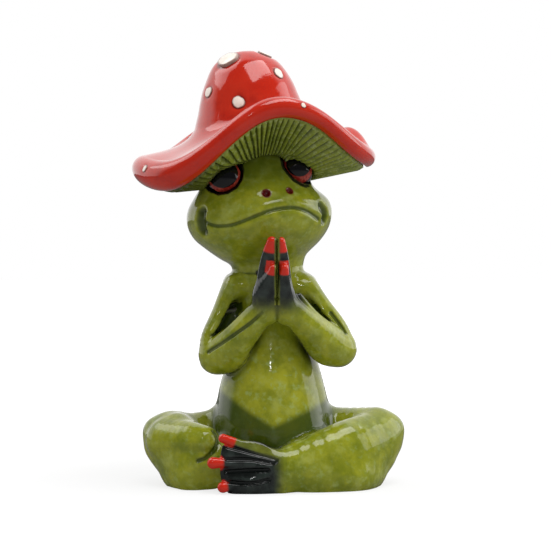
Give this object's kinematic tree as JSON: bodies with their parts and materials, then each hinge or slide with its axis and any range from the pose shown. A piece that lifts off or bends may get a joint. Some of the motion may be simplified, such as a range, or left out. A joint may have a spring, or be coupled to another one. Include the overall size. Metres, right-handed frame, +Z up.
{
  "type": "frog figurine",
  "caption": "Glossy cross-legged frog figurine with palms joined and a wavy spotted mushroom hat, assembled from pinned and glued castings.",
  "frame": {"origin": "on the flat underside of the torso, on the body's middle line, between the hips", "axes": "+Z up; the figure faces -Y; the frog's own left is at +X"},
  "size_m": [0.0936, 0.0755, 0.1508],
  "materials": {
    "green_glaze": "gloss",
    "eye_gloss": "gloss",
    "red_glaze": "gloss",
    "gill_glaze": "gloss",
    "cream_spots": "gloss",
    "slate_glaze": "gloss",
    "pin_steel": "satin"
  },
  "bodies": {
    "root": {"torso": "green_glaze", "head": "green_glaze", "right_eye": "eye_gloss", "left_eye": "eye_gloss", "mushroom_cap": "red_glaze", "gill_ring": "gill_glaze", "cap_spots": "cream_spots", "right_arm": "green_glaze", "left_arm": "green_glaze", "right_hand": "slate_glaze", "left_hand": "slate_glaze", "right_leg": "green_glaze", "left_leg": "green_glaze", "left_foot": "slate_glaze", "neck_pin": "pin_steel", "crown_pin": "pin_steel", "shoulder_pins": "pin_steel", "wrist_pins": "pin_steel", "hip_pins": "pin_steel", "ankle_pin": "pin_steel"}
  },
  "joints": []
}
